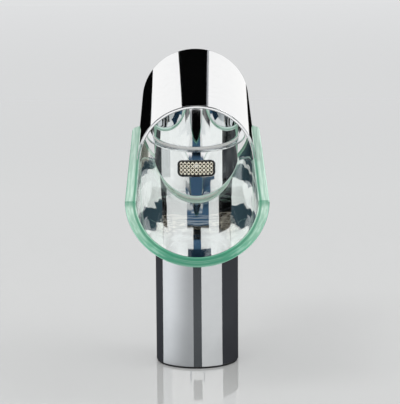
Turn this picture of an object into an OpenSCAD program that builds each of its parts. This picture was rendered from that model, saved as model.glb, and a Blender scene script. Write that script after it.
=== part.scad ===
// Waterfall basin mixer: a round column carries a half-pipe glass spout, and a
// half-pipe hood above it is the handle. Column, glass and hood are clamped to one
// valve body. The head (glass, rim, hub and hood) leans forward by head_tilt, so it
// is drawn in its own frame: +Z is the swivel axis, -Y runs down the spout, and the
// origin is where the rim's top face meets the column's axis.

/* [Column] */
// Diameter of the column
column_d = 50; // [47:0.5:56]
// Wall of the column and of the outlet sleeve
column_wall = 3; // [2.5:0.1:3.6]
// Height of the rim's centre above the surface
head_height = 138.5; // [125:0.5:170]
// Lean of the head towards the front, in degrees
head_tilt = 14.3; // [12:0.1:16]
// Thickness of the base gasket
base_gasket_t = 1.2; // [0.8:0.1:2]
// How far the base gasket's edge lies in from the column's face
base_gasket_inset = 0.6; // [0.3:0.1:1.2]

/* [Glass spout] */
// Gap on each side between the column and the glass's inner wall
glass_side_gap = 7; // [5:0.25:10]
// Thickness of the glass
glass_wall = 6; // [4:0.5:8]
// Length of the glass in front of the swivel axis
spout_reach = 117.5; // [90:0.5:150]
// How far the glass's tail ends in front of the column's back
glass_tail_in = 12.5; // [10:0.5:14]
// Radius of the curved tail end, seen from above
glass_tail_r = 67; // [55:1:90]
// Radius of the tail's two corners
glass_corner_r = 9; // [6:0.5:12]
// Ground bevel along the glass's edges
glass_arris = 0.6; // [0.3:0.1:1]
// Height of the spout's axis above the rim's top face
axis_rise = 4; // [3:0.25:6]
// Thickness of the two soft saddle gaskets
saddle_t = 0.8; // [0.5:0.1:1.2]

/* [Outlet] */
// Width of the outlet slot
slot_w = 22; // [16:0.5:26]
// Height of the outlet slot
slot_h = 9.6; // [7:0.2:10.5]
// Corner radius of the outlet slot
slot_corner_r = 2.7; // [1.5:0.1:3.2]
// Centre of the slot below the head's centre
slot_drop = 18.1; // [17:0.1:19]
// How deep the mesh lies behind the sleeve's face
mesh_recess = 0.9; // [0.5:0.1:1.5]
// Pitch of the mesh's wires
mesh_pitch = 1.5; // [1.3:0.1:2.4]
// Width of one wire
mesh_wire = 0.5; // [0.3:0.05:0.6]

/* [Handle] */
// How far the hood's outer face lies outside the glass's inner wall
hood_step = 1.5; // [1:0.1:2.5]
// Wall of the hood
hood_wall = 1.8; // [1.2:0.1:2.2]
// Length of the hood in front of the swivel axis
hood_front = 58.8; // [50:0.2:75]
// Length of the hood behind the swivel axis
hood_back = 53.3; // [45:0.1:65]
// Gap between the hood's lower edges and the glass's upper edges
hood_gap = 1.9; // [1:0.1:3]
// How far the rim stands out from the hub
rim_lip = 3.5; // [2:0.1:5]
// Gap between the hub and the rim
hub_gap = 0.7; // [0.4:0.05:1.2]
// Lift of the hood from shut to full flow, in degrees
lift_max = 20; // [12:1:20]
// Distance of the hinge pin in from the hub's back
hinge_inset = 6; // [5:0.5:7]

/* [Rim and cartridge] */
// Gap between the rim and the glass's inner wall
rim_gap = 2.5; // [1.5:0.1:4]
// Thickness of the rim
rim_t = 1.2; // [0.8:0.1:2]
// Diameter of the cartridge's barrel
cartridge_d = 20; // [18:0.5:21]
// Body metal left under the cartridge
body_floor = 2.2; // [2:0.1:2.6]
// Diameter of the spool inside the cartridge
spool_d = 11.9; // [11:0.1:12.5]
// Diameter of the stem's round rod
rod_d = 8; // [6:0.5:8.5]

/* [Base connections] */
// Distance of each water inlet from the column's middle plane
inlet_x = 6; // [6:0.1:7]
// Distance of the inlets behind the column's axis
inlet_back = 5; // [3:0.25:6]
// Core diameter of the two inlet threads
inlet_d = 9; // [8:0.1:10]
// Depth of the inlet threads
inlet_depth = 8; // [6:0.5:10]
// Core diameter of the fixing stud's thread
stud_d = 6.8; // [5:0.1:8.5]
// Distance of the fixing stud in front of the column's axis
stud_front = 13; // [11:0.5:15]
// Wall of the riser pipes
riser_wall = 1; // [0.6:0.1:1.5]

/* [Hidden] */

$fn = 96;
// Free running gap on a radius, and the seat gap between fixed pieces
run_gap = 0.05;
seat_gap = 0.05;
// Overrun of every cut
over = 1;

// Column, glass, hood, rim and hub as radii, and where the glass's tail ends
column_r = column_d / 2;
bore_r = column_r - column_wall;
glass_in_r = column_r + glass_side_gap;
glass_r = glass_in_r + glass_wall;
glass_tail = column_r - glass_tail_in;
hood_r = glass_in_r + hood_step;
hood_in_r = hood_r - hood_wall;
rim_r = glass_in_r - rim_gap;
hub_r = rim_r - rim_lip;
hinge_back = hub_r - hinge_inset;
// Rise of the stem, which the hood pulls level with the hinge, at full lift
stem_rise = hinge_back * tan(lift_max);

// Radii of the two saddles round the spout's axis
low_saddle_r = glass_r + saddle_t;
up_saddle_r = glass_in_r - saddle_t;
// Width of the gaskets' band, and how far it lies in from the column's face
gasket_inset = 0.2;
// Height of the glass's underside on the column's axis, and the saddle's lowest point
floor_z = head_height + (axis_rise - glass_r) / cos(head_tilt);
saddle_low_z = floor_z - column_r * tan(head_tilt) - saddle_t / cos(head_tilt);
// Half size of a block that is larger than the head
reach = 4 * column_d;

// Neck of the valve body, which goes through the glass, with its clamping parts
neck_inset = 7.5;
neck_r = bore_r - neck_inset;
// Radius of a riser, its distance to the side and to the back, as shares of the neck's radius
riser_shares = [8 / 29, 12 / 29, 10 / 29];
riser_r = riser_shares[0] * neck_r;
riser_x = riser_shares[1] * neck_r;
riser_back = riser_shares[2] * neck_r;
hole_gap = 1;
glass_hole_r = neck_r + hole_gap;
bush_wall = 0.8;
collar_t = 8;
collar_drop = 2.2;
collar_top_z = saddle_low_z - collar_drop;
collar_z = collar_top_z - collar_t;
washer_t = 1.6;
washer_r = bore_r - 2 * run_gap - hole_gap;
nut_t = 7;
nut_inset = 4;
nut_r = bore_r - nut_inset;
neck_end = 1.5;
nut_z = collar_z - washer_t - nut_t;
neck_z = nut_z - neck_end;

// Flange of the valve body, sunk in the sleeve's top
flange_r = column_r - 1.5;
flange_t = 3;
flange_seal_r = 0.7;

// Cartridge, measured down from the rim's top face
nut_thread_r = 15;
nut_thread_l = 3;
nut_flange_r = 17.5;
nut_flange_t = 1.4;
bearing_r = 13;
bearing_top = 12;
stem_clear_r = 6.6;
barrel_r = cartridge_d / 2;
barrel_flange_r = barrel_r + 2.5;
barrel_flange_t = 2;
barrel_top = -rim_t - nut_thread_l;
barrel_floor = 2.6;
gland_t = 1.5;
port_seal_t = 1;
barrel_bottom = axis_rise - up_saddle_r + saddle_t + body_floor + port_seal_t;
barrel_l = barrel_top - barrel_bottom;
port_seal_r = 3;
port_r = 1.6;
port_x = 4;
// The water ways meet the cartridge's floor this far behind its axis
port_back = (riser_back + barrel_bottom * sin(head_tilt)) / cos(head_tilt);
spool_r = spool_d / 2;
spool_bore_r = spool_r + 2 * run_gap;
rod_r = rod_d / 2;
spool_end_gap = 0.3;
spool_edge = 1;
spool_low = barrel_bottom + barrel_floor + spool_end_gap;
spool_l = barrel_top - gland_t - spool_low - stem_rise - spool_end_gap;
passage_r = 1.8;
passage_x = (riser_x + port_x) / 2;
seal_r = 0.72;
spool_seal_r = 0.6;
// The barrel's port lies between the spool's two seals when the tap is shut
outlet_port_r = spool_l / 2 - spool_edge - spool_seal_r - spool_end_gap;
outlet_port_z = head_height - spool_bore_r * sin(head_tilt)
    + (spool_low + spool_l / 2) * cos(head_tilt);
// Heights of the seals round the barrel, above and below its port, and on the spool
barrel_seal_z = [barrel_bottom + barrel_floor - seal_r, barrel_top - barrel_flange_t - 4 * seal_r];
spool_seal_z = [spool_low + spool_edge, spool_low + spool_l - spool_edge];

// Tongue of the stem and its link pin, level with the hinge pin
tongue_t = 5.9;
tongue_w = 8;
tongue_low = 4;
pin_r = 1.5;
link_rise = 5;
eye_wall = 1.5;
link_slot_gap = 0.25;
hinge_r = 2;
link_slot_run = hinge_back / cos(lift_max) - hinge_back;

// Hub's inner steps and the screw that holds it
groove_z = 6;
groove_depth = 0.8;
screw_r = 2;
screw_sunk = 1.7;
socket_r = 1.2;
screw_tip = bearing_r - groove_depth + 2 * run_gap;
screw_l = hub_r - screw_tip - screw_sunk;
hub_room_top = bearing_top + 0.6;
hub_floor = hub_room_top + 1.9;
link_z = hub_floor + link_rise;
tongue_top = link_z + pin_r + eye_wall;
hub_bevel = 0.4;
hub_roof_gap = 0.6;
glide_in_r = nut_flange_r + 0.7;
glide_w = 3.4;
glide_out_r = glide_in_r + glide_w;

// Bracket under the hood's roof
cheek_t = 2;
cheek_gap = 0.15;
bracket_half = tongue_t / 2 + cheek_gap + cheek_t;
bracket_slot = bracket_half + 0.3;
bracket_front = 5.5;
bracket_back = hinge_back + 4;
bracket_low = link_z - 3;
bracket_bridge = 3;
slot_front = bracket_front + 0.6;
hood_edge_z = axis_rise + hood_gap;
hood_bevel = 0.3;
hinge_sunk = 1.6;
hinge_pin_l = 2 * sqrt(pow(hub_r, 2) - pow(hinge_back, 2)) - 2 * hinge_sunk;

// Base plug and risers
gasket_clear = 0.7;
plug_t = 14.8;
plug_z = base_gasket_t;
riser_foot_z = plug_z + inlet_depth + 1;
riser_bore_gap = 0.05;
riser_seal_tube = 0.6;
riser_seal_room = 1.4;
riser_top_z = floor_z + 0.1 * column_r;

// Mesh and its frame
frame_wall = 0.9;
frame_depth = 5;
frame_gap = 0.1;
mesh_t = 0.7;
outlet_gasket_t = 1;
chamber_depth = 3;
// Distance of the frame's back face in front of the column's axis
frame_back = column_r - mesh_recess - frame_depth;
slot_z = head_height - slot_drop;

chrome = [0.82, 0.84, 0.86];
brass = [0.78, 0.63, 0.32];
steel = [0.62, 0.63, 0.65];
rubber = [0.08, 0.08, 0.09];
soft_clear = [0.72, 0.80, 0.78];
plastic = [0.90, 0.90, 0.88];
dark_plastic = [0.12, 0.12, 0.13];
glass_green = [0.62, 0.85, 0.76, 0.5];

// The head's own frame
module in_head() {
    translate([0, 0, head_height])
        rotate([head_tilt, 0, 0])
            children();
}

// Ring of rectangular section standing on z
module ring(outer, inner, z, h) {
    translate([0, 0, z])
        difference() {
            cylinder(r = outer, h = h);
            translate([0, 0, -over])
                cylinder(r = inner, h = h + 2 * over);
        }
}

// O-ring lying at height z
module seal_ring(r, tube, z) {
    translate([0, 0, z])
        rotate_extrude($fn = 48)
            translate([r, 0])
                circle(r = tube, $fn = 24);
}

// Everything inside radius r of the spout's axis, and all that is above the axis
module inside_spout(r) {
    in_head() {
        translate([0, reach, axis_rise])
            rotate([90, 0, 0])
                cylinder(r = r, h = 2 * reach);
        translate([-r, -reach, axis_rise])
            cube([2 * r, 2 * reach, reach]);
    }
}

// All that is above the rim's underside
module above_rim() {
    in_head()
        translate([-reach, -reach, -rim_t])
            cube([2 * reach, 2 * reach, reach]);
}

// All that the glass's curved tail lets stand
module tail_keep() {
    tail_mid = glass_tail - glass_tail_r;
    translate([0, tail_mid, -reach])
        cylinder(r = glass_tail_r, h = 2 * reach);
    translate([-glass_tail_r + over, tail_mid - 2 * reach, -reach])
        cube([2 * (glass_tail_r - over), 2 * reach, 2 * reach]);
}

// Waste outside the two round corners of the glass's tail
module corner_waste() {
    tail_mid = glass_tail - glass_tail_r;
    corner_x = glass_r - glass_corner_r;
    corner_y = tail_mid + sqrt(pow(glass_tail_r - glass_corner_r, 2) - pow(corner_x, 2));
    lean = asin(corner_x / (glass_tail_r - glass_corner_r));
    far = 2 * glass_corner_r;
    for (side = [-1, 1])
        translate([side * corner_x, corner_y, -reach])
            difference() {
                linear_extrude(height = 2 * reach)
                    polygon([[0, 0], [side * far, 0], [side * far, far],
                        [side * far * sin(lean), far * cos(lean)]]);
                translate([0, 0, -over])
                    cylinder(r = glass_corner_r + seat_gap, h = 2 * reach + 2 * over);
            }
}

// Space of the glass and its gaskets between two radii, as far back as its tail
module glass_space(outer, grow) {
    intersection() {
        inside_spout(outer);
        in_head()
            translate([0, 0, -reach])
                linear_extrude(height = 2 * reach)
                    translate([0, glass_tail - glass_tail_r])
                        circle(r = glass_tail_r + grow);
    }
}

// Rounded rectangle centred on the outlet slot, run along Y from y0 to y1
module slot_prism(grow, y0, y1) {
    w = slot_w / 2 + grow;
    h = slot_h / 2 + grow;
    r = slot_corner_r + grow;
    translate([0, y1, slot_z])
        rotate([90, 0, 0])
            linear_extrude(height = y1 - y0)
                union() {
                    translate([-w, -h + r])
                        square([2 * w, 2 * (h - r)]);
                    translate([-w + r, -h])
                        square([2 * (w - r), 2 * h]);
                    for (i = [-1, 1], j = [-1, 1])
                        translate([i * (w - r), j * (h - r)])
                            circle(r = r, $fn = 32);
                }
}

// Half pipe round the spout's axis with bevelled ends, cut to one side of the axis
module pipe(outer, inner, y0, y1, bevel) {
    translate([0, 0, axis_rise])
        rotate([-90, 0, 0])
            rotate_extrude()
                polygon([[inner + bevel, y0], [outer - bevel, y0], [outer, y0 + bevel],
                    [outer, y1 - bevel], [outer - bevel, y1], [inner + bevel, y1],
                    [inner, y1 - bevel], [inner, y0 + bevel]]);
}

// Room under the hood, less a gap, as the hub has to leave it
module hood_room(gap) {
    translate([0, reach, axis_rise])
        rotate([90, 0, 0])
            cylinder(r = hood_in_r - gap, h = 2 * reach);
    translate([-hood_in_r, -reach, axis_rise - reach])
        cube([2 * hood_in_r, 2 * reach, reach]);
}

// Places what follows at both hose inlets
module at_inlets() {
    for (side = [-1, 1])
        translate([side * inlet_x, inlet_back, 0])
            children();
}

// Places what follows at both risers
module at_risers() {
    for (side = [-1, 1])
        translate([side * riser_x, riser_back, 0])
            children();
}

module base_gasket() {
    color(rubber)
        difference() {
            cylinder(r = column_r - base_gasket_inset, h = base_gasket_t);
            translate([0, -stud_front, -over])
                cylinder(r = stud_d / 2 + gasket_clear, h = base_gasket_t + 2 * over);
            at_inlets()
                translate([0, 0, -over])
                    cylinder(r = inlet_d / 2 + gasket_clear, h = base_gasket_t + 2 * over);
        }
}

module base_plug() {
    color(brass)
        difference() {
            translate([0, 0, plug_z])
                cylinder(r = bore_r - seat_gap, h = plug_t);
            translate([0, -stud_front, plug_z - over])
                cylinder(r = stud_d / 2, h = plug_t + 2 * over);
            at_inlets()
                translate([0, 0, plug_z - over])
                    cylinder(r = inlet_d / 2, h = inlet_depth + over);
            at_risers() {
                translate([0, 0, plug_z + inlet_depth / 2])
                    cylinder(r = riser_r - riser_wall, h = plug_t);
                translate([0, 0, riser_foot_z])
                    cylinder(r = riser_r + riser_bore_gap, h = plug_t);
                translate([0, 0, plug_z + plug_t - riser_seal_room])
                    cylinder(r = riser_r + 2 * riser_seal_tube, h = riser_seal_room + over);
            }
        }
}

module column() {
    color(chrome)
        difference() {
            ring(column_r, bore_r, base_gasket_t, head_height - base_gasket_t);
            inside_spout(up_saddle_r + seat_gap);
            glass_space(low_saddle_r + seat_gap, 6 * seat_gap);
        }
}

module column_collar() {
    color(brass)
        ring(bore_r - seat_gap, neck_r + 2 * run_gap, collar_z, collar_t);
}

module riser(side) {
    color(brass)
        translate([side * riser_x, riser_back, 0])
            ring(riser_r, riser_r - riser_wall, riser_foot_z, riser_top_z - riser_foot_z);
}

module hot_riser() {
    riser(-1);
}

module cold_riser() {
    riser(1);
}

module riser_seals() {
    color(rubber)
        at_risers() {
            seal_ring(riser_r + riser_seal_tube, riser_seal_tube,
                plug_z + plug_t - riser_seal_room / 2);
            seal_ring(riser_r + riser_seal_tube, riser_seal_tube,
                neck_z + riser_seal_room / 2);
        }
}

// Band of the column's wall between two radii round the spout's axis
module saddle_band(outer, inner, grow) {
    difference() {
        intersection() {
            ring(column_r - gasket_inset, bore_r + gasket_inset, 0, head_height);
            glass_space(outer, grow);
        }
        inside_spout(inner);
    }
}

module lower_saddle_gasket() {
    color(soft_clear)
        saddle_band(low_saddle_r, glass_r, 0);
}

module upper_saddle_gasket() {
    color(soft_clear)
        saddle_band(glass_in_r, up_saddle_r, 0);
}

module spout_glass() {
    bevel_w = glass_arris * sqrt(2);
    color(glass_green)
        difference() {
            in_head()
                difference() {
                    intersection() {
                        difference() {
                            pipe(glass_r, glass_in_r, -spout_reach, 2 * glass_tail, glass_arris);
                            translate([-reach, -reach, axis_rise])
                                cube([2 * reach, 2 * reach, reach]);
                            for (side = [-1, 1], r = [glass_in_r, glass_r])
                                translate([side * r, 0, axis_rise])
                                    rotate([0, 45, 0])
                                        cube([bevel_w, 2 * reach, bevel_w], center = true);
                        }
                        tail_keep();
                    }
                    corner_waste();
                }
            translate([0, 0, neck_z])
                cylinder(r = glass_hole_r, h = head_height);
        }
}

module glass_bush() {
    color(plastic)
        difference() {
            ring(neck_r + 2 * run_gap + bush_wall, neck_r + 2 * run_gap,
                saddle_low_z, head_height - saddle_low_z);
            inside_spout(up_saddle_r + seat_gap);
        }
}

module outlet_sleeve() {
    color(chrome)
        difference() {
            intersection() {
                ring(column_r, bore_r, floor_z - column_d, column_d + head_height);
                inside_spout(up_saddle_r - seat_gap);
            }
            above_rim();
            in_head()
                translate([0, 0, -rim_t - flange_t - seat_gap])
                    cylinder(r = flange_r + seat_gap, h = flange_t + column_d);
            slot_prism(0, -column_r - over, -bore_r / 2);
        }
}

module valve_body() {
    color(brass)
        difference() {
            union() {
                in_head()
                    translate([0, 0, -rim_t - flange_t])
                        cylinder(r = flange_r, h = flange_t);
                difference() {
                    intersection() {
                        translate([0, 0, floor_z - column_d])
                            cylinder(r = bore_r - seat_gap, h = column_d + head_height);
                        inside_spout(up_saddle_r - saddle_t);
                    }
                    above_rim();
                }
                translate([0, 0, neck_z])
                    cylinder(r = neck_r, h = slot_z - neck_z);
            }
            in_head() {
                translate([0, 0, barrel_bottom - port_seal_t])
                    cylinder(r = barrel_r + run_gap, h = reach);
                translate([0, 0, barrel_top - barrel_flange_t])
                    cylinder(r = barrel_flange_r + run_gap, h = reach);
                translate([0, 0, barrel_top])
                    cylinder(r = nut_thread_r + 2 * run_gap, h = reach);
                translate([0, 0, -rim_t - flange_t])
                    difference() {
                        cylinder(r = flange_r + over, h = 2 * flange_seal_r);
                        cylinder(r = flange_r - 2 * flange_seal_r, h = 2 * flange_seal_r);
                    }
            }
            at_risers() {
                translate([0, 0, neck_z - over])
                    cylinder(r = riser_r + riser_bore_gap, h = riser_top_z - neck_z + over);
                translate([0, 0, neck_z - over])
                    cylinder(r = riser_r + 2 * riser_seal_tube, h = riser_seal_room + over);
            }
            for (side = [-1, 1])
                translate([side * passage_x, riser_back, riser_top_z - over])
                    cylinder(r = passage_r, h = slot_z - riser_top_z);
            slot_prism(frame_gap, -column_r - over, -frame_back + outlet_gasket_t);
            slot_prism(-frame_wall - frame_gap, -column_r, -frame_back + outlet_gasket_t
                + chamber_depth);
            translate([0, 0, outlet_port_z])
                rotate([90, 0, 0])
                    cylinder(r = outlet_port_r, h = frame_back + outlet_gasket_t);
        }
}

module flange_seal() {
    color(rubber)
        in_head()
            seal_ring(flange_r - flange_seal_r, flange_seal_r - run_gap / 2,
                -rim_t - flange_t + flange_seal_r);
}

module clamp_washer() {
    color(steel)
        ring(washer_r, neck_r + 2 * run_gap, collar_z - washer_t, washer_t);
}

module clamp_nut() {
    color(brass)
        difference() {
            translate([0, 0, nut_z])
                cylinder(r = nut_r, h = nut_t, $fn = 6);
            translate([0, 0, nut_z - over])
                cylinder(r = neck_r + run_gap, h = nut_t + 2 * over);
        }
}

module outlet_gasket() {
    color(rubber)
        difference() {
            slot_prism(0, -frame_back, -frame_back + outlet_gasket_t);
            slot_prism(-frame_wall - frame_gap, -column_r, over);
        }
}

module mesh_frame() {
    color(dark_plastic)
        intersection() {
            difference() {
                slot_prism(-frame_gap, -column_r, -frame_back);
                slot_prism(-frame_gap - frame_wall, -column_r - over, over);
            }
            translate([0, 0, slot_z - slot_h])
                cylinder(r = column_r - mesh_recess + 2 * mesh_t / 3, h = 2 * slot_h);
        }
}

// Two layers of crossed wires, bent to the column's curve
module outlet_mesh() {
    half = (slot_w + slot_h) / (2 * sqrt(2));
    count = floor(half / mesh_pitch);
    face_r = column_r - mesh_recess;
    color(steel)
        for (turn = [-1, 1])
            intersection() {
                ring(face_r - (turn + 1) * mesh_t / 2 + run_gap,
                    face_r - mesh_t - (turn + 1) * mesh_t / 2,
                    slot_z - slot_h, 2 * slot_h);
                slot_prism(-frame_gap - frame_wall - seat_gap, -column_r - over, -bore_r / 2);
                translate([0, 0, slot_z])
                    rotate([0, turn * 45, 0])
                        for (i = [-count : count])
                            translate([-half, -column_r - over, (i - 0.5) * mesh_pitch
                                - mesh_wire / 2])
                                cube([2 * half, column_r, mesh_wire]);
            }
}

module port_seals() {
    color(rubber)
        in_head()
            for (side = [-1, 1])
                translate([side * port_x, port_back, 0])
                    ring(port_seal_r, port_r, barrel_bottom - port_seal_t, port_seal_t);
}

module cartridge_barrel() {
    color(plastic)
        difference() {
            in_head()
                difference() {
                    union() {
                        translate([0, 0, barrel_bottom])
                            cylinder(r = barrel_r, h = barrel_l);
                        translate([0, 0, barrel_top - barrel_flange_t])
                            cylinder(r = barrel_flange_r, h = barrel_flange_t);
                    }
                    translate([0, 0, barrel_bottom + barrel_floor])
                        cylinder(r = spool_bore_r, h = barrel_l - barrel_floor - gland_t);
                    translate([0, 0, barrel_top - gland_t - over])
                        cylinder(r = rod_r + 2 * run_gap, h = gland_t + 2 * over);
                    for (side = [-1, 1])
                        translate([side * port_x, port_back, barrel_bottom - over])
                            cylinder(r = port_r, h = barrel_floor + 2 * over);
                    for (z = barrel_seal_z)
                        seal_ring(barrel_r - seal_r, seal_r + run_gap, z);
                }
            translate([0, 0, outlet_port_z])
                rotate([90, 0, 0])
                    cylinder(r = outlet_port_r, h = column_r);
        }
}

module barrel_seals() {
    color(rubber)
        in_head()
            for (z = barrel_seal_z)
                seal_ring(barrel_r - seal_r, seal_r, z);
}

module cartridge_nut() {
    color(brass)
        in_head()
            difference() {
                union() {
                    translate([0, 0, barrel_top])
                        cylinder(r = nut_thread_r, h = -barrel_top);
                    cylinder(r = nut_flange_r, h = nut_flange_t);
                    cylinder(r = bearing_r, h = bearing_top);
                }
                translate([0, 0, barrel_top - over])
                    cylinder(r = stem_clear_r, h = bearing_top - barrel_top + 2 * over);
                ring(bearing_r + over, bearing_r - groove_depth, groove_z - screw_r - 2 * run_gap,
                    2 * screw_r + 4 * run_gap);
            }
}

module cover_rim() {
    rim_edge = rim_t / 3;
    color(chrome)
        in_head()
            rotate_extrude()
                polygon([[nut_thread_r + 4 * run_gap, -rim_t], [rim_r - rim_edge, -rim_t],
                    [rim_r, -rim_t + rim_edge], [rim_r, -rim_edge], [rim_r - rim_edge, 0],
                    [nut_thread_r + 4 * run_gap, 0]]);
}

module glide_ring() {
    color(plastic)
        in_head()
            ring(glide_out_r, glide_in_r, 0, hub_gap - run_gap);
}

// Grub screw in the hub's back; its tip runs in the nut's groove and holds the hub down
module hub_screw() {
    color(steel)
        in_head()
            difference() {
                translate([0, screw_tip, groove_z])
                    rotate([-90, 0, 0])
                        cylinder(r = screw_r, h = screw_l);
                translate([0, screw_tip + screw_l - screw_r, groove_z])
                    rotate([-90, 0, 0])
                        cylinder(r = socket_r, h = screw_l, $fn = 6);
            }
}

module handle_hub() {
    hub_top = axis_rise + hood_in_r;
    color(chrome)
        in_head()
            difference() {
                intersection() {
                    rotate_extrude()
                        polygon([[0, hub_gap], [hub_r - hub_bevel, hub_gap],
                            [hub_r, hub_gap + hub_bevel], [hub_r, hub_top], [0, hub_top]]);
                    hood_room(hub_roof_gap);
                    translate([0, hinge_back, link_z])
                        rotate([-lift_max, 0, 0])
                            translate([0, -hinge_back, -link_z])
                                hood_room(hub_roof_gap);
                }
                translate([0, 0, hub_gap - over])
                    cylinder(r = nut_flange_r + hub_gap / 2, h = nut_flange_t + over);
                translate([0, 0, hub_gap - over])
                    cylinder(r = bearing_r + run_gap, h = hub_room_top - hub_gap + over);
                translate([0, 0, groove_z])
                    rotate([-90, 0, 0])
                        cylinder(r = screw_r + run_gap / 2, h = 2 * hub_r);
                translate([-tongue_t / 2 - run_gap, -tongue_w / 2 - run_gap, bearing_top])
                    cube([tongue_t + 2 * run_gap, tongue_w + 2 * run_gap, hub_top]);
                translate([-bracket_slot, -slot_front, hub_floor])
                    cube([2 * bracket_slot, slot_front + 2 * hub_r, hub_top]);
                translate([-hinge_pin_l / 2, hinge_back, link_z])
                    rotate([0, 90, 0])
                        cylinder(r = hinge_r + run_gap / 2, h = 2 * hub_r);
            }
}

module hinge_pin() {
    color(steel)
        in_head()
            translate([-hinge_pin_l / 2, hinge_back, link_z])
                rotate([0, 90, 0])
                    cylinder(r = hinge_r, h = hinge_pin_l);
}

module handle_hood() {
    color(chrome)
        in_head()
            difference() {
                pipe(hood_r, hood_in_r, -hood_front, hood_back, hood_bevel);
                translate([-reach, -reach, hood_edge_z - 2 * reach])
                    cube([2 * reach, 2 * reach, 2 * reach]);
            }
}

module lever_bracket() {
    color(steel)
        in_head()
            difference() {
                intersection() {
                    translate([-bracket_half, -bracket_front, bracket_low])
                        cube([2 * bracket_half, bracket_front + bracket_back, hood_r]);
                    hood_room(seat_gap);
                }
                translate([-bracket_half + cheek_t, -bracket_front - over, bracket_low - over])
                    cube([2 * (bracket_half - cheek_t), bracket_front + bracket_back + 2 * over,
                        axis_rise + hood_in_r - bracket_bridge - bracket_low + over]);
                translate([-hub_r, hinge_back, link_z])
                    rotate([0, 90, 0])
                        cylinder(r = hinge_r + run_gap, h = 2 * hub_r);
                for (run = [0, 1])
                    translate([-hub_r, -run * link_slot_run, link_z])
                        rotate([0, 90, 0])
                            cylinder(r = pin_r + link_slot_gap, h = 2 * hub_r);
                translate([-hub_r, -link_slot_run, link_z - pin_r - link_slot_gap])
                    cube([2 * hub_r, link_slot_run, 2 * (pin_r + link_slot_gap)]);
            }
}

module stem() {
    color(steel)
        in_head()
            difference() {
                union() {
                    translate([0, 0, spool_low])
                        cylinder(r = spool_r, h = spool_l);
                    translate([0, 0, spool_low])
                        cylinder(r = rod_r, h = tongue_low - spool_low);
                    translate([-tongue_t / 2, -tongue_w / 2, tongue_low])
                        cube([tongue_t, tongue_w, tongue_top - tongue_low]);
                }
                for (z = spool_seal_z)
                    seal_ring(spool_r - spool_seal_r + run_gap, spool_seal_r + run_gap / 2, z);
                translate([-tongue_t, 0, link_z])
                    rotate([0, 90, 0])
                        cylinder(r = pin_r, h = 2 * tongue_t);
            }
}

module spool_seals() {
    color(rubber)
        in_head()
            for (z = spool_seal_z)
                seal_ring(spool_r - spool_seal_r + run_gap, spool_seal_r, z);
}

module link_pin() {
    pin_l = 2 * (bracket_half - run_gap);
    color(steel)
        in_head()
            translate([-pin_l / 2, 0, link_z])
                rotate([0, 90, 0])
                    cylinder(r = pin_r, h = pin_l);
}

base_gasket();
base_plug();
column();
column_collar();
hot_riser();
cold_riser();
riser_seals();
lower_saddle_gasket();
spout_glass();
glass_bush();
upper_saddle_gasket();
outlet_sleeve();
valve_body();
flange_seal();
clamp_washer();
clamp_nut();
outlet_gasket();
mesh_frame();
outlet_mesh();
port_seals();
cartridge_barrel();
barrel_seals();
cartridge_nut();
cover_rim();
glide_ring();
hub_screw();
handle_hub();
hinge_pin();
handle_hood();
lever_bracket();
stem();
spool_seals();
link_pin();
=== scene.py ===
import math
import bpy
import numpy as np
from mathutils import Matrix, Vector


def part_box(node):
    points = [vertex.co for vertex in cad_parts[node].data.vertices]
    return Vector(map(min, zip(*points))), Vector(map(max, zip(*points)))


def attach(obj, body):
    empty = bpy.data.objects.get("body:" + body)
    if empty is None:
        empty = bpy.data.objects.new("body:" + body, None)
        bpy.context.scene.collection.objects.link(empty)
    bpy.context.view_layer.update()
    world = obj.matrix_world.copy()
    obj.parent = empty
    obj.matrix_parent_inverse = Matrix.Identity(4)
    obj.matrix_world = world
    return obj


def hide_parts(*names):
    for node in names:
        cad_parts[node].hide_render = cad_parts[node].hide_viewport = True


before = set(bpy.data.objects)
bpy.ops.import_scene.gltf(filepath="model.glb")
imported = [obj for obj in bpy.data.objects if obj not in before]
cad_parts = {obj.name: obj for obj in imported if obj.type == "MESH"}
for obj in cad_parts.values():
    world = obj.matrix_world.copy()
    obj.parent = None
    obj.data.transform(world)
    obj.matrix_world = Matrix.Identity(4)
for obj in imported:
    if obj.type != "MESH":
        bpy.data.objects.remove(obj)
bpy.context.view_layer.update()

# Base gasket: a thin rubber disc under the foot, cut out for the stud and the two hoses.
# It keeps the metal off the basin. Rubber is dull, with a fine grain and a few greyer rubs, and
# every O-ring and seal inside the tap is made of it too.


class Tone:
    """A number or a colour that varies over a surface. Python's operators on a number add the
    Math nodes."""

    def __init__(self, nodes, socket):
        self.nodes = nodes
        self.socket = socket

    def math(self, operation, *values):
        return self.nodes.node("ShaderNodeMath", {"operation": operation}, *values)

    def __add__(self, other):
        return self.math("ADD", self, other)

    def __sub__(self, other):
        return self.math("SUBTRACT", self, other)

    def __mul__(self, other):
        return self.math("MULTIPLY", self, other)

    def __truediv__(self, other):
        return self.math("DIVIDE", self, other)

    def __rsub__(self, other):
        return self.math("SUBTRACT", other, self)

    __radd__ = __add__
    __rmul__ = __mul__

    def root(self):
        return self.math("SQRT", self)

    def most(self, other):
        return self.math("MAXIMUM", self, other)

    def under(self, edge):
        """1 under the edge and 0 over it, with no step between."""
        return self.math("LESS_THAN", self, edge)

    def above(self, edge, soft):
        """0 below edge, 1 above edge + soft, and a smooth step between."""
        smooth = {"interpolation_type": "SMOOTHSTEP"}
        return self.nodes.node("ShaderNodeMapRange", smooth, self, edge, edge + soft)

    def below(self, edge, soft):
        """1 below edge, 0 above edge + soft, and a smooth step between."""
        return 1 - self.above(edge, soft)


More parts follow.
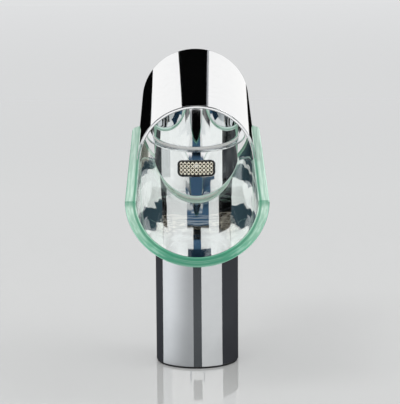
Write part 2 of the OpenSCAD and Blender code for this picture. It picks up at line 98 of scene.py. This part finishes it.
class Nodes:
    """A node tree, written as expressions."""

    def __init__(self, tree):
        self.tree = tree

    def feed(self, socket, value):
        """Links a Tone to a socket, or sets the socket to a plain value."""
        if isinstance(value, Tone):
            self.tree.links.new(value.socket, socket)
        elif value is not None:
            socket.default_value = value

    def node(self, kind, settings, *values, out=0, **named):
        """Adds a node: its settings first, then its sockets in order or by name, None to leave
        one alone. The Tone that comes back is its output called out."""
        made = self.tree.nodes.new(kind)
        for key, value in settings.items():
            if key == "stops":
                fill_ramp(made.color_ramp, value)
            else:
                setattr(made, key, value)
        for socket, value in zip(made.inputs, values):
            self.feed(socket, value)
        for key, value in named.items():
            self.feed(made.inputs[key], value)
        return Tone(self, made.outputs[out])

    def mix(self, amount, first, second):
        """The colour that lies at amount, from 0 to 1, of the way from first to second."""
        in_colour = {"data_type": "RGBA"}
        skipped = [None] * 5
        return self.node("ShaderNodeMix", in_colour, amount, *skipped, first, second, out=2)

    def axes(self, where):
        """The three coordinates of a place, as numbers."""
        split = self.node("ShaderNodeSeparateXYZ", {}, where).socket.node
        return [Tone(self, socket) for socket in split.outputs]

    def ray(self, fact):
        """What is known of the light ray that arrives, such as how often it was mirrored."""
        return self.node("ShaderNodeLightPath", {}, out=fact)


class Finish(Nodes):
    """One material: a surface shader and the nodes that vary it."""

    def __init__(self, name, **fixed):
        self.material = bpy.data.materials.new(name)
        self.material.use_nodes = True
        super().__init__(self.material.node_tree)
        self.shader = self.tree.nodes["Principled BSDF"]
        self.fix(fixed)

    def set(self, name, value):
        """Sets or links a socket of the surface shader by its name."""
        self.feed(self.shader.inputs[name.title().replace("Ior", "IOR")], value)

    def fix(self, fixed):
        """Sets what is the same all over the surface."""
        for key, value in fixed.items():
            self.set(key.replace("_", " "), value)

    def surface(self):
        return Tone(self, self.shader.outputs[0])

    def show(self, surface):
        """Makes a surface the one that the material shows."""
        self.feed(self.tree.nodes["Material Output"].inputs["Surface"], surface)

    def over(self, amount, **fixed):
        """Lays a second surface over the first where amount is 1. What is set next is its own."""
        first = self.surface()
        self.shader = self.node("ShaderNodeBsdfPrincipled", {}).socket.node
        self.show(self.node("ShaderNodeMixShader", {}, amount, first, self.surface()))
        self.fix(fixed)

    def place(self, stretch=(1, 1, 1), turn=(0, 0, 0), move=(0, 0, 0)):
        """The object's own coordinates in metres, stretched, turned and moved."""
        spot = self.node("ShaderNodeTexCoord", {}, out="Object")
        return self.node("ShaderNodeMapping", {}, Vector=spot, Location=move, Rotation=turn,
                         Scale=stretch)

    def from_axis(self, across, along):
        """Distance from an axis: the root of across times across plus along times along."""
        return (across * across + along * along).root()

    def noise(self, where, scale, detail=2.0, rough=0.5):
        """A soft random pattern from 0 to 1, with scale patches to the metre."""
        return self.node("ShaderNodeTexNoise", {}, Vector=where, Scale=scale, Detail=detail,
                         Roughness=rough)

    def bump(self, height, strength, depth, under=None):
        """Raises the surface by height times depth, in metres."""
        return self.node("ShaderNodeBump", {}, Strength=strength, Distance=depth, Height=height,
                         Normal=under)


def fill_ramp(ramp, stops):
    """Sets a colour ramp to a list of (place, colour)."""
    while len(ramp.elements) < len(stops):
        ramp.elements.new(1.0)
    for element, (place, colour) in zip(ramp.elements, stops):
        element.position = place
        element.color = colour


def dress(finish, *nodes):
    """Puts a finish on CAD nodes, in their own material slots."""
    for name in nodes:
        for material_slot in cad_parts[name].material_slots:
            material_slot.material = finish.material


rubber_black = (0.012, 0.012, 0.013, 1)
rubber_rubbed = (0.035, 0.035, 0.037, 1)
rubber_grain_depth = 0.00015
rubber = Finish("black_rubber")
grain = rubber.noise(rubber.place(), 900.0, 4.0)
rubs = rubber.noise(rubber.place(), 60.0, 3.0)
rubber.set("Base Color", rubber.mix(rubs, rubber_black, rubber_rubbed))
rubber.set("Roughness", 0.45 + rubs * 0.3)
rubber.set("Normal", rubber.bump(grain, 0.4, rubber_grain_depth))
dress(rubber, "base_gasket", "riser_seals", "flange_seal", "outlet_gasket")
dress(rubber, "port_seals", "barrel_seals", "spool_seals")

# Foot plug, collar, nuts, risers and valve body: brass turned on a lathe and left raw.
# The cutter leaves fine rings round the column's axis and handling leaves duller patches.
# The port behind the outlet slot is painted near black, a painted shade for the recess seen through
# the mesh.
slot_low, slot_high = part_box("outlet_mesh")
slot_height = (slot_low[2] + slot_high[2]) * 0.5
way_half = 0.007
way_front = -0.004
way_soft = 0.001
brass_light = (0.80, 0.62, 0.30, 1)
brass_dull = (0.58, 0.42, 0.19, 1)
brass_painted_shade = (0.03, 0.022, 0.015, 1)
ring_depth = 0.00006
raw_brass = Finish("turned_brass", metallic=1.0)
spot = raw_brass.place()
across, along, up = raw_brass.axes(spot)
radius = raw_brass.from_axis(across, along)
turned_spot = raw_brass.node("ShaderNodeCombineXYZ", {}, radius, 0.0, up)
rings = raw_brass.noise(turned_spot, 2500.0, 2.0)
tarnish = raw_brass.noise(spot, 70.0, 4.0)
brass_tint = raw_brass.mix(tarnish, brass_light, brass_dull)
# painted shade: the front of the port behind the outlet slot is darkened almost to black, where the
# recess lies in shade
in_slot = up.above(slot_height - way_half, way_soft) * up.below(slot_height + way_half, way_soft)
painted_shade_in_port = along.below(way_front, 2 * way_soft) * in_slot
raw_brass.set("Base Color", raw_brass.mix(painted_shade_in_port * 0.9, brass_tint, brass_painted_shade))
raw_brass.set("Roughness", 0.22 + tarnish * 0.2)
raw_brass.set("Normal", raw_brass.bump(rings, 0.35, ring_depth))
dress(raw_brass, "base_plug", "column_collar", "hot_riser", "cold_riser")
dress(raw_brass, "valve_body", "clamp_nut", "cartridge_nut")

# Column, outlet sleeve, rim, hub and hood: brass, polished and plated with chrome.
# The plating mirrors the room. Polishing leaves a very slight waviness and faint hazing, and
# eases every edge a little.
chrome_clear = (0.86, 0.875, 0.89, 1)
chrome_hazed = (0.80, 0.815, 0.83, 1)
wave_depth = 0.00012
eased_edge = 0.00045
chrome = Finish("polished_chrome", metallic=1.0)
wave = chrome.noise(chrome.place(), 45.0, 1.0)
haze = chrome.noise(chrome.place(), 260.0, 3.0)
chrome.set("Base Color", chrome.mix(haze, chrome_clear, chrome_hazed))
chrome.set("Roughness", 0.025 + haze * 0.035)
eased = chrome.node("ShaderNodeBevel", {"samples": 8}, eased_edge)
chrome.set("Normal", chrome.bump(wave, 0.25, wave_depth, eased))
dress(chrome, "column", "outlet_sleeve", "cover_rim", "handle_hub", "handle_hood")

# Saddle seals: thin milky silicone, one under the glass and one on it, cut to the cope.
# Light passes through them, and a small glow of their own stands for it.
milk_light = (0.66, 0.82, 0.75, 1)
milk_deep = (0.54, 0.72, 0.64, 1)
silicone = Finish("milky_silicone", emission_strength=0.3)
cloud = silicone.noise(silicone.place(), 200.0, 3.0)
milk = silicone.mix(cloud, milk_light, milk_deep)
silicone.set("Base Color", milk)
silicone.set("Emission Color", milk)
silicone.set("Roughness", 0.3 + cloud * 0.2)
dress(silicone, "lower_saddle_gasket", "upper_saddle_gasket")

# Bush, barrel and glide ring: white acetal, turned and left matt.
# It lets a little light through too, and a painted glow of its own stands for it.
acetal_white = (0.86, 0.86, 0.84, 1)
acetal_grey = (0.78, 0.78, 0.76, 1)
speck_depth = 0.00005
acetal = Finish("white_acetal", roughness=0.45, emission_strength=0.35)
speck = acetal.noise(acetal.place(), 700.0, 3.0)
plastic_white = acetal.mix(speck, acetal_white, acetal_grey)
acetal.set("Base Color", plastic_white)
# painted light: the plastic's own colour is also its glow
acetal.set("Emission Color", plastic_white)
acetal.set("Normal", acetal.bump(speck, 0.2, speck_depth))
dress(acetal, "glass_bush", "cartridge_barrel", "glide_ring")

# Glide washer: the thin white lip of the glide ring, which shows in the seam under the hub.
# Turned from acetal with eased outer edges, it stands on the rim and stays clear of the hub
# above it.
head_height = 0.1385
head_tilt = math.radians(14.3)
washer_turns = 128
washer_inner = 0.0250
washer_outer = 0.0260
washer_low = 0.00002
washer_high = 0.00054
ease_across = 0.00015
ease_low = 0.00008
ease_high = 0.0001
washer_profile = np.array([(washer_inner, washer_low),
                           (washer_outer - ease_across, washer_low),
                           (washer_outer, washer_low + ease_low),
                           (washer_outer, washer_high - ease_high),
                           (washer_outer - ease_across, washer_high),
                           (washer_inner, washer_high)])


def add_piece(name, points, faces, finish):
    """Makes a mesh object from numpy points and quads."""
    mesh = bpy.data.meshes.new(name)
    mesh.from_pydata(points.tolist(), [], faces)
    mesh.materials.append(finish.material)
    mesh.polygons.foreach_set("use_smooth", np.ones(len(mesh.polygons), bool))
    made = bpy.data.objects.new(name, mesh)
    bpy.context.collection.objects.link(made)
    return made


def turned_ring(profile, turns):
    """A closed profile (radius, height) carried round the head's axis: at angle a the point is
    (radius cos a, radius sin a, height), leaned forward by head_tilt and lifted by head_height."""
    angle = np.linspace(0, 2 * math.pi, turns, endpoint=False)
    radius, height = profile.T
    x = np.outer(np.cos(angle), radius)
    y = np.outer(np.sin(angle), radius)
    z = np.broadcast_to(height, x.shape)
    leaned_y = y * math.cos(head_tilt) - z * math.sin(head_tilt)
    leaned_z = y * math.sin(head_tilt) + z * math.cos(head_tilt) + head_height
    points = np.stack([x, leaned_y, leaned_z], -1)
    index = np.arange(x.size).reshape(x.shape)
    ahead = np.roll(index, -1, 0)
    faces = np.stack([index, ahead, np.roll(ahead, -1, 1), np.roll(index, -1, 1)], -1)
    return points.reshape(-1, 3), faces.reshape(-1, 4).tolist()


washer = add_piece("glide_washer", *turned_ring(washer_profile, washer_turns), acetal)
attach(washer, "fixed_body")

# Glass spout: clear float glass, bent to a half pipe. Its cut edges are ground and polished.
# Iron makes it green where light runs along it. That green is painted on the cut edges with painted
# light and shade: deep green low on the front edge, pale mint on the arms, a painted shade line
# beside the inner corner, a painted highlight along the outer arris, a painted darker patch at the
# front corners, and pale and deep streaks as painted reflections.
# The edges also glow a little, a painted light that stands for light carried along the glass.
axis_rise = 0.004
glass_inner = 0.032
glass_wall = 0.006
glass_front = -0.1175
glass_clear = (0.95, 0.985, 0.968, 1)
edge_greens_shaded_to_lit = [(0.0, (0.055, 0.27, 0.165, 1)), (0.16, (0.075, 0.33, 0.21, 1)),
               (0.3, (0.17, 0.52, 0.35, 1)), (0.5, (0.44, 0.72, 0.56, 1)),
               (1.0, (0.72, 0.90, 0.79, 1))]
reflection_streak_mint = (0.62, 0.86, 0.74, 1)
reflection_streak_green = (0.08, 0.40, 0.24, 1)
inner_shade_green = (0.045, 0.30, 0.17, 1)
outer_highlight_mint = (0.36, 0.88, 0.63, 1)
corner_shade_green = (0.04, 0.30, 0.17, 1)
corner_reach = 0.0012
corner_drop = 0.0045
corner_soft = 0.0040
ripple_depth = 0.0006
clear_glass = Finish("green_float_glass", roughness=0.012, transmission_weight=1.0, ior=1.5)
ripple = clear_glass.noise(clear_glass.place(), 28.0, 1.0)
clear_glass.set("Base Color", glass_clear)
clear_glass.set("Normal", clear_glass.bump(ripple, 0.35, ripple_depth))
head_back = (0, -head_height * math.sin(head_tilt), -head_height * math.cos(head_tilt))
across, along, up = clear_glass.axes(clear_glass.place(turn=(-head_tilt, 0, 0), move=head_back))
# depth runs from 0 on the inner face to 1 on the outer one, with the cut edges between, and
# height from -1 at the lowest line of the outer face to 0 level with the pipe's axis
rise = up - axis_rise
depth = (clear_glass.from_axis(across, rise) - glass_inner) / glass_wall
cut = depth.above(0.01, 0.01) * depth.below(0.97, 0.01)
height = rise / (glass_inner + glass_wall)
# painted light: the cut edges glow with their own colour, for light carried along the glass
clear_glass.over(cut, coat_weight=1.0, coat_roughness=0.04, transmission_weight=0.1,
                 emission_strength=0.28)
# painted light and shade: deep dark green low down, rising to pale mint on the arms, which face up
# to the light
tint = clear_glass.node("ShaderNodeValToRGB", {"stops": edge_greens_shaded_to_lit}, height + 1.0)
band_spot = clear_glass.node("ShaderNodeCombineXYZ", {}, depth * 2.2, height * 2.5, along * 12.0)
streaks = clear_glass.noise(band_spot, 3.0, 3.0, 0.6)
# painted shade: a dark green line beside the inner corner of the cut edge
inner_shade_line = depth.above(0.08, 0.06) * depth.below(0.26, 0.12)
# painted highlight: a bright mint line along the outer arris of the cut edge
outer_highlight_line = depth.above(0.88, 0.05)
# painted shade: a soft darker green patch at the front corners of the cut edge
at_front = along.below(glass_front + corner_reach, corner_reach)
front_corner_shade = at_front * rise.above(-corner_drop, corner_soft)
# painted reflections: pale and deep green streaks along the cut edge
tint = clear_glass.mix(streaks.above(0.45, 0.3) * 0.45, tint, reflection_streak_mint)
tint = clear_glass.mix(streaks.below(0.4, 0.25) * 0.4, tint, reflection_streak_green)
tint = clear_glass.mix(inner_shade_line * 0.8, tint, inner_shade_green)
tint = clear_glass.mix(outer_highlight_line * 0.7, tint, outer_highlight_mint)
tint = clear_glass.mix(front_corner_shade * 0.65, tint, corner_shade_green)
clear_glass.set("Base Color", tint)
clear_glass.set("Emission Color", tint)
clear_glass.set("Roughness", 0.3 + streaks * 0.2)
dress(clear_glass, "spout_glass")

# Washer, pins, screw, bracket and stem: plain stainless steel, cut from bar and sheet.
# It is brushed along its length, which leaves fine lines of lighter and darker grey.
steel_light = (0.64, 0.65, 0.66, 1)
steel_dark = (0.50, 0.51, 0.52, 1)
brush_depth = 0.00004
steel = Finish("brushed_stainless", metallic=1.0)
brush = steel.noise(steel.place((1, 14, 1)), 500.0, 3.0)
steel.set("Base Color", steel.mix(brush, steel_light, steel_dark))
steel.set("Roughness", 0.24 + brush * 0.18)
steel.set("Normal", steel.bump(brush, 0.25, brush_depth))
dress(steel, "clamp_washer", "hub_screw", "hinge_pin", "lever_bracket", "stem", "link_pin")

# Mesh frame: a black moulded ring that snaps into the slot and holds the mesh.
# Moulded plastic is nearly even, with a very fine cloud from the tool's surface.
mould_black = (0.014, 0.014, 0.016, 1)
mould_grey = (0.03, 0.03, 0.032, 1)
black_plastic = Finish("black_plastic")
mould = black_plastic.noise(black_plastic.place(), 1200.0, 2.0)
black_plastic.set("Base Color", black_plastic.mix(mould, mould_black, mould_grey))
black_plastic.set("Roughness", 0.35 + mould * 0.15)
dress(black_plastic, "mesh_frame")

# Outlet mesh: stainless wire in a plain weave, cut on the bias and bent to the sleeve's curve.
# It breaks the jet up. Each wire passes over and under the ones that cross it. Its outer side
# has a painted glow as painted light, and its inner side is left dark as painted shade.
mesh_curve = 0.0237
mesh_pitch = 0.0016
wire_radius = 0.00027
wave_height = 0.00028
window_half = np.array((0.0102, 0.0040))
window_corner = 0.0018
rings_per_pitch = 6
wire_sides = 6
wire_light = (0.97, 0.92, 0.80, 1)
wire_dusty = (0.80, 0.73, 0.60, 1)
wire_painted_shade = (0.04, 0.035, 0.03, 1)
wire_steel = Finish("woven_steel", metallic=0.35, emission_strength=0.55)
dust = wire_steel.noise(wire_steel.place(), 900.0, 3.0)
wire_tint = wire_steel.mix(dust, wire_light, wire_dusty)
across, along, up = wire_steel.axes(wire_steel.place())
# painted light: the outer side of each wire glows with the wire's colour, the inner side stays dark
# as painted shade
painted_light_side = wire_steel.from_axis(across, along).above(mesh_curve - 0.0001, 0.0003)
wire_steel.set("Base Color", wire_tint)
wire_steel.set("Emission Color", wire_steel.mix(painted_light_side, wire_painted_shade, wire_tint))
wire_steel.set("Roughness", 0.3 + dust * 0.2)


def inside_window(s, z):
    """True where (s, z) lies in the rounded window: distance to the inner rectangle <= corner."""
    past = np.maximum(np.abs(np.stack([s, z])) - (window_half - window_corner)[:, None], 0)
    return np.hypot(*past) <= window_corner


def woven_wire(lean, number):
    """Wire of one family, as rings of points. Along the wire, at distance t from the middle:
    s = (t - lean * n) / sqrt 2 and z = (lean * t + n) / sqrt 2, with n = (number + 1/2) pitches,
    and it waves out and in by wave_height * cos(pi * (t / pitch - 1/2 + number)) * lean. Its
    ring is cos(turn) * side + sin(turn) * over_side, wire_radius from that line. A wire with
    fewer than four points in the window is left out."""
    span = np.hypot(*window_half)
    steps = int(2 * span / mesh_pitch * rings_per_pitch)
    t = np.linspace(-span, span, steps)
    n = (number + 0.5) * mesh_pitch
    s = (t - lean * n) / math.sqrt(2)
    z = (lean * t + n) / math.sqrt(2)
    kept = inside_window(s, z)
    if kept.sum() < 4:
        return None
    t, s, z = t[kept], s[kept], z[kept]
    phase = math.pi * (t / mesh_pitch - 0.5 + number)
    out = lean * wave_height * np.cos(phase)
    slope = -lean * wave_height * math.pi / mesh_pitch * np.sin(phase)
    level = np.full_like(t, 1 / math.sqrt(2))
    ahead = np.stack([level, lean * level, slope], -1)
    ahead /= np.linalg.norm(ahead, axis=1, keepdims=True)
    side = np.array((-lean / math.sqrt(2), 1 / math.sqrt(2), 0.0))
    over_side = np.cross(ahead, side)
    turn = np.linspace(0, 2 * math.pi, wire_sides, endpoint=False)
    ring = (np.cos(turn)[None, :, None] * side[None, None, :]
            + np.sin(turn)[None, :, None] * over_side[:, None, :])
    centre = np.stack([s, z, out], -1)
    return centre[:, None, :] + wire_radius * ring


def wire_skin(rows, start):
    """The quads round a wire of some rows of points, with both ends closed. Its first point has
    the number start."""
    index = start + np.arange(rows * wire_sides).reshape(rows, wire_sides)
    near, far = index[:-1], index[1:]
    quads = np.stack([near, np.roll(near, -1, 1), np.roll(far, -1, 1), far], -1)
    return quads.reshape(-1, 4).tolist() + [index[0, ::-1].tolist(), index[-1].tolist()]


wire_count = int(window_half.sum() / math.sqrt(2) / mesh_pitch) + 1
families = [(lean, number) for lean in (-1, 1) for number in range(-wire_count, wire_count)]
wires = [wire for wire in (woven_wire(*family) for family in families) if wire is not None]
wire_faces = []
start = 0
for wire in wires:
    wire_faces += wire_skin(len(wire), start)
    start += len(wire) * wire_sides
# the flat weave (s, z, out) is bent round the sleeve: to the angle s / mesh_curve, at the
# distance mesh_curve + out from the axis and the height slot_height + z
flat = np.concatenate([wire.reshape(-1, 3) for wire in wires])
bend = flat[:, 0] / mesh_curve
reach = mesh_curve + flat[:, 2]
bent = np.stack([reach * np.sin(bend), -reach * np.cos(bend), slot_height + flat[:, 1]], -1)
woven = add_piece("woven_mesh", bent, wire_faces, wire_steel)
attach(woven, "fixed_body")
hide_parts("outlet_mesh")

# Floor: one wide pale polished sheet, which runs on to the horizon.
# Its coat mirrors the foot of the tap, and its colour is the pale background.
floor_size = 60.0
floor_pale = (0.70, 0.70, 0.69, 1)
floor_corners = np.array([(-1, -1, 0), (1, -1, 0), (1, 1, 0), (-1, 1, 0)]) * floor_size
floor_finish = Finish("pale_floor", base_color=floor_pale, roughness=0.8,
                      specular_ior_level=0.0, coat_weight=1.0, coat_roughness=0.0)
floor = add_piece("floor", floor_corners, [(0, 1, 2, 3)], floor_finish)

# Cards round the tap, as in a photo studio, which give polished metal its bands: dark ones in
# front, behind and at the sides, white ones between them, and a few blue ones low in front.
# They cast no shadow, and the floor's mirror does not show them.
card_steps = 32
card_white = (1.0, 0.99, 0.98)
card_black = (0.002, 0.002, 0.002)
card_blue = (0.075, 0.15, 0.25)
card_glow = 1.04
behind_glow = 0.95
graded_light = (0.85, 0.86, 0.87, 1)
graded_grey = (0.43, 0.435, 0.44, 1)
graded_from = -1.45
graded_over = 1.2


def card_tone(name, colour, glow=0.0, seen="in_metal"):
    """A dull or glowing card. It shows only in_metal, where the view has met gloss on its way,
    only through_glass, where it has met none, or in_both, where it has met gloss and glass."""
    finish = Finish(name, base_color=(*colour, 1), roughness=1.0, specular_ior_level=0.0)
    if glow:
        finish.fix({"base_color": (0, 0, 0, 1), "emission_color": (*colour, 1),
                    "emission_strength": glow})
    in_floor = finish.ray("Is Singular Ray")
    straight = finish.ray("Glossy Depth").under(0.5)
    dry = finish.ray("Transmission Depth").under(0.5)
    hidden = 1 - straight if seen == "through_glass" else in_floor.most(straight)
    if seen == "in_both":
        hidden = hidden.most(dry)
    clear = finish.node("ShaderNodeBsdfTransparent", {})
    finish.show(finish.node("ShaderNodeMixShader", {}, hidden, finish.surface(), clear))
    return finish


charcoal = card_tone("charcoal_card", (0.055, 0.056, 0.062))
slate = card_tone("slate_card", (0.10, 0.105, 0.11))
black = card_tone("black_card", card_black)
blue = card_tone("blue_card", card_blue)
white = card_tone("white_card", card_white, card_glow)
shelf_black = card_tone("shelf_black", card_black, seen="in_both")
shelf_blue = card_tone("shelf_blue", card_blue, seen="in_both")
shelf_navy = card_tone("shelf_navy", (0.022, 0.05, 0.085), seen="in_both")
shelf_white = card_tone("shelf_white", card_white, card_glow, "in_both")
slate_behind = card_tone("slate_behind", (0.06, 0.11, 0.14), seen="through_glass")
white_behind = card_tone("white_behind", (0.96, 1.0, 0.98), behind_glow, "through_glass")
beige_behind = card_tone("beige_behind", (0.55, 0.55, 0.47), seen="through_glass")
graded = card_tone("graded_card", (0.5, 0.5, 0.5))
across, along, up = graded.axes(graded.place())
bearing = graded.node("ShaderNodeMath", {"operation": "ARCTAN2"}, across, 0 - along)
turned_away = bearing.above(graded_from, graded_over)
graded.set("Base Color", graded.mix(turned_away, graded_light, graded_grey))


def card(name, finish, start, end, path, tube=0.0):
    """A card bent round the tap: its path of (distance, height) turned from azimuth start to
    end, in degrees from the front. With a tube radius, each distance runs from the point of the
    tube that mirrors that azimuth, which lies at half of it, so its edge looks straight there."""
    turn = np.radians(np.linspace(start, end, card_steps))
    distance, height = np.array(path).T
    x = np.outer(np.sin(turn), distance) + tube * np.sin(turn / 2)[:, None]
    y = np.outer(-np.cos(turn), distance) - tube * np.cos(turn / 2)[:, None]
    z = np.broadcast_to(height, x.shape)
    points = np.stack([x, y, z], -1).reshape(-1, 3)
    row = len(path)
    index = np.arange(card_steps * row).reshape(card_steps, row)
    faces = np.stack([index[:-1, :-1], index[1:, :-1], index[1:, 1:], index[:-1, 1:]], -1)
    made = add_piece(name, points, faces.reshape(-1, 4).tolist(), finish)
    made.visible_camera = False
    made.visible_diffuse = False
    made.visible_shadow = False


def lying(near, far, height):
    """The path of a card that lies flat at a height, from near to far."""
    return [(near, height), (far, height)]


def standing(distance, low, high):
    """The path of a card that stands at a distance, from low to high."""
    return [(distance, low), (distance, high)]


# cards on the floor and round it, which column, sleeve and hood mirror: where each one starts
# and ends, in degrees from the front, and its distances and heights in metres
column_radius = 0.025
on_floor = 0.0005
stripe_left = -11
stripe_right = 12
bright_left = -112
bright_right = 74
back = 180
behind_right = 150
behind_left = 210
dark_left = 360 + bright_left
dark_right = -bright_left
slate_end = 0.315
front_wall = 0.34
pale_wall = 0.36
side_wall = 0.5
behind_wall = 0.499
blue_low = 0.052
blue_high = 0.0935
side_low = 0.09
wall_top = 0.14
card_high = 0.7
side_path = [(0.0, on_floor), (side_wall, on_floor), (side_wall, side_low)]
behind_path = [(0.03, on_floor), (behind_wall, on_floor), (behind_wall, side_low)]
over_path = [(pale_wall, wall_top), (pale_wall, card_high), (0.25, 0.9), (0.1, 1.0)]
white_wall_path = standing(1.0, 0.05, 0.85)
card("card_front_low", slate, stripe_left, stripe_right,
     [(0.0, on_floor), (slate_end, on_floor), (slate_end, blue_low)], column_radius)
card("card_graded", graded, bright_left, stripe_left, lying(0.0, 0.6, on_floor), column_radius)
card("card_front_high", black, stripe_left, stripe_right,
     standing(front_wall, blue_high, card_high))
card("card_front_top", black, -60, 60, over_path)
card("card_blue", blue, -20, 19, standing(front_wall, blue_low, blue_high))
card("card_blue_low", blue, 19, 50, standing(front_wall, 0.036, 0.068))
card("card_right", charcoal, bright_right, back, side_path, column_radius)
card("card_right_high", black, bright_right, back, standing(side_wall, side_low, 0.155))
card("card_back_left", charcoal, -back, bright_left, side_path, column_radius)
card("card_behind", charcoal, dark_right, dark_left, behind_path)
card("card_left_high", black, back, dark_left, standing(side_wall, side_low, 0.238))
card("card_stripe", black, 171.1, 191.5, standing(0.85, 0.35, 1.4))
card("card_white_right", white, 140, 170, white_wall_path)
card("card_white_left", white, 190, 220, white_wall_path)

# the low shelf of cards under the glass, which only hub, sleeve and hood edge look down on
shelf = 0.054
shelf_over = shelf + 0.0005
shelf_start = 0.075
black_start = 0.146
shelf_step = 0.165
arch_start = 0.186
black_end = 0.2
arch_end = 0.205
slate_far = 0.29
arch_left = -30
arch_right = 38
near_path = lying(shelf_start, shelf_step, shelf)
next_path = lying(shelf_step, arch_start, shelf)
arch_path = lying(arch_start, arch_end, shelf)
far_path = lying(arch_end, slate_far, shelf)
pale_path = lying(shelf_step, pale_wall, shelf)
dark_path = lying(shelf_step, front_wall, shelf)
wall_path = standing(pale_wall, shelf, wall_top)
card("shelf_blue", shelf_blue, stripe_left, stripe_right, lying(shelf_start, black_start, shelf))
card("shelf_black", black, stripe_left, stripe_right, lying(black_start, black_end, shelf))
card("shelf_blue_far", shelf_blue, stripe_left, stripe_right, lying(black_end, front_wall, shelf))
card("shelf_white_right", shelf_white, stripe_right, behind_right, near_path)
card("shelf_white_left", shelf_white, -behind_right, stripe_left, near_path)
card("shelf_navy", shelf_navy, -27, 42, lying(0.07, 0.11, shelf_over))
card("wall_white_right", white, stripe_right, bright_right, wall_path)
card("wall_white_left", white, -bright_right, stripe_left, wall_path)
card("shelf_near_right", shelf_white, stripe_right, arch_right, next_path)
card("shelf_near_left", shelf_white, arch_left, stripe_left, next_path)
card("shelf_arch_right", shelf_black, stripe_right, arch_right, arch_path)
card("shelf_arch_left", shelf_black, arch_left, stripe_left, arch_path)
card("shelf_slate_right", shelf_blue, stripe_right, arch_right, far_path)
card("shelf_slate_left", shelf_blue, arch_left, stripe_left, far_path)
card("shelf_pale_right", shelf_white, arch_right, bright_right, pale_path)
card("shelf_pale_left", shelf_white, bright_left, arch_left, pale_path)
card("shelf_dark_right", shelf_black, bright_right, behind_right, dark_path)
card("shelf_dark_left", shelf_black, behind_left, dark_left, dark_path)
card("edge_white", white, -16, 16, [(shelf_step, 0.0695), (0.245, 0.0583)])

# what shows straight through the clear glass behind the tap, from the floor up
white_low = 0.0255
white_high = 0.0486
line_low = 0.064
line_high = 0.069
left_white_top = 0.061
left_slate_top = 0.0725
seen_top = 0.1


def behind(name, finish, start, end, low, high):
    """A card that stands at the side wall's distance, from low to high."""
    card(name, finish, start, end, standing(side_wall, low, high))


card("behind_floor", white_behind, behind_right, behind_left, lying(0.2, side_wall, 0.001))
behind("behind_slate", slate_behind, behind_right, behind_left, 0.002, white_low)
behind("behind_white", white_behind, behind_right, behind_left, white_low, white_high)
behind("behind_slate_right", slate_behind, behind_right, back, white_high, line_low)
behind("behind_white_right", white_behind, behind_right, back, line_low, line_high)
behind("behind_slate_top", slate_behind, behind_right, back, line_high, seen_top)
behind("behind_white_left", white_behind, back, behind_left, white_high, left_white_top)
behind("behind_slate_left", slate_behind, back, behind_left, left_white_top, left_slate_top)
behind("behind_beige_left", beige_behind, back, behind_left, left_slate_top, seen_top)

# Light: an even pale room, one wide soft lamp high on the left and a weaker one on the right.
# Polished metal sees the room with a grey band half way up and a white ceiling.
room_pale = (0.93, 0.94, 0.95, 1)
room_grey = (0.42, 0.43, 0.45, 1)
room_ceiling = (1.0, 1.0, 1.0, 1)
room_level = 0.8
lamp_aim = (0, 0, 0.08)
lamp_size = 1.0
room = bpy.data.worlds.new("room")
bpy.context.scene.world = room
room.use_nodes = True
room_nodes = Nodes(room.node_tree)
across, along, up = room_nodes.axes(room_nodes.node("ShaderNodeTexCoord", {}, out="Generated"))
room_bands = [(0.0, room_pale), (0.38, room_pale), (0.5, room_grey), (0.66, room_grey),
              (0.8, room_ceiling)]
bands = room_nodes.node("ShaderNodeValToRGB", {"stops": room_bands}, up)
air = room.node_tree.nodes["Background"]
seen_room = room_nodes.mix(room_nodes.ray("Is Glossy Ray"), room_pale, bands)
room_nodes.feed(air.inputs["Color"], seen_room)
room_nodes.feed(air.inputs["Strength"], room_level)


def soft_lamp(name, place, power):
    """A square area lamp at place that points at lamp_aim."""
    data = bpy.data.lights.new(name, "AREA")
    data.shape = "SQUARE"
    data.size = lamp_size
    data.energy = power
    lamp = bpy.data.objects.new(name, data)
    bpy.context.collection.objects.link(lamp)
    lamp.location = place
    lamp.rotation_mode = "QUATERNION"
    lamp.rotation_quaternion = (Vector(lamp_aim) - Vector(place)).to_track_quat("-Z", "Y")
    lamp.visible_camera = False


soft_lamp("lamp_left", (-1.3, -1.5, 2.4), 16.0)
soft_lamp("lamp_right", (1.7, -0.4, 2.3), 8.0)

# Camera: in front of the tap and a little above it, with a long lens, as the picture was taken.
# Its place, angles and lens were fitted to the outlines of column, glass and hood.
focal_pixels = 1432.6
frame_long_side = 404
sensor_width = 36.0
camera_place = (-0.003152, -0.85803, 0.2185)
pitch = math.radians(8.053)
yaw = math.radians(0.353)
roll = math.radians(-0.382)
camera_data = bpy.data.cameras.new("camera")
camera_data.sensor_width = sensor_width
camera_data.lens = focal_pixels * sensor_width / frame_long_side
camera = bpy.data.objects.new("camera", camera_data)
bpy.context.collection.objects.link(camera)
# yaw turns the view aside, pitch turns it down, and roll tilts the picture about it
ahead = Vector((math.sin(yaw) * math.cos(pitch), math.cos(yaw) * math.cos(pitch), -math.sin(pitch)))
level = ahead.cross(Vector((0, 0, 1))).normalized()
upright = level.cross(ahead)
right = math.cos(roll) * level + math.sin(roll) * upright
top = -math.sin(roll) * level + math.cos(roll) * upright
turned = Matrix((right, top, -ahead)).transposed()
camera.matrix_world = Matrix.Translation(camera_place) @ turned.to_4x4()
bpy.context.scene.camera = camera
bpy.context.scene.view_settings.view_transform = "Standard"
